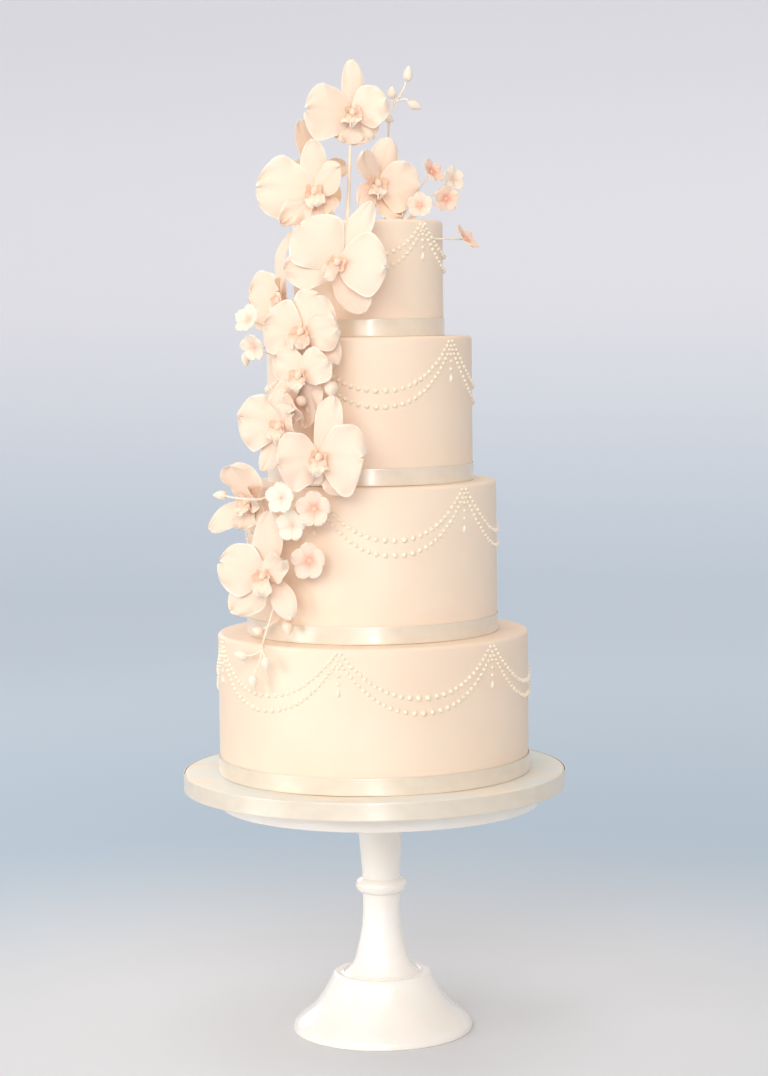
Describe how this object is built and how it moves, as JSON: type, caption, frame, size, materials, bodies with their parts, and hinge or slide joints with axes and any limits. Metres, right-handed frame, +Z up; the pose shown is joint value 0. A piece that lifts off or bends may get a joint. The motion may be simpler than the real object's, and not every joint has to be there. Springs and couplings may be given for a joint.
{
  "type": "tiered wedding cake",
  "caption": "Round tiered wedding cake with fondant icing, satin ribbons, piped swags and a cascade of sugar orchids, on an iced board and a pedestal stand.",
  "frame": {"origin": "on the surface the stand rests on, under the axis of the cake and its board", "axes": "+Z up along the cake's axis; -Y is the front that the picture shows, with the flowers running down its left, at -X"},
  "size_m": [0.3574, 0.3574, 0.9014],
  "materials": {
    "fondant": "smooth pale blush sugar paste, soft sheen",
    "satin": "ivory satin ribbon",
    "milk_glass": "glossy opaque milk white",
    "sugar": "ivory sugar paste and royal icing, matte",
    "blush_sugar": "pale pink sugar paste, matte"
  },
  "bodies": {
    "root": {"stand": "milk_glass", "board": "fondant", "board_ribbon": "satin", "tier_1": "fondant", "ribbon_1": "satin", "tier_2": "fondant", "ribbon_2": "satin", "tier_3": "fondant", "ribbon_3": "satin", "tier_4": "fondant", "ribbon_4": "satin", "orchid_01": "sugar", "orchid_02": "sugar", "orchid_03": "sugar", "orchid_04": "sugar", "orchid_05": "sugar", "orchid_06": "sugar", "orchid_07": "sugar", "orchid_08": "sugar", "orchid_09": "sugar", "orchid_10": "sugar", "orchid_11": "sugar", "orchid_12": "sugar", "blossom_01": "blush_sugar", "blossom_02": "blush_sugar", "blossom_03": "blush_sugar", "blossom_04": "blush_sugar", "blossom_05": "blush_sugar", "blossom_06": "blush_sugar", "blossom_07": "blush_sugar", "blossom_08": "blush_sugar", "blossom_09": "blush_sugar", "blossom_10": "blush_sugar", "blossom_11": "blush_sugar", "bud_spray_top": "sugar", "bud_spray_side": "sugar", "bud_spray_foot": "sugar", "bud_waist": "sugar", "bud_round": "sugar", "bud_left_base": "sugar", "bud_front_base": "sugar"}
  },
  "joints": []
}
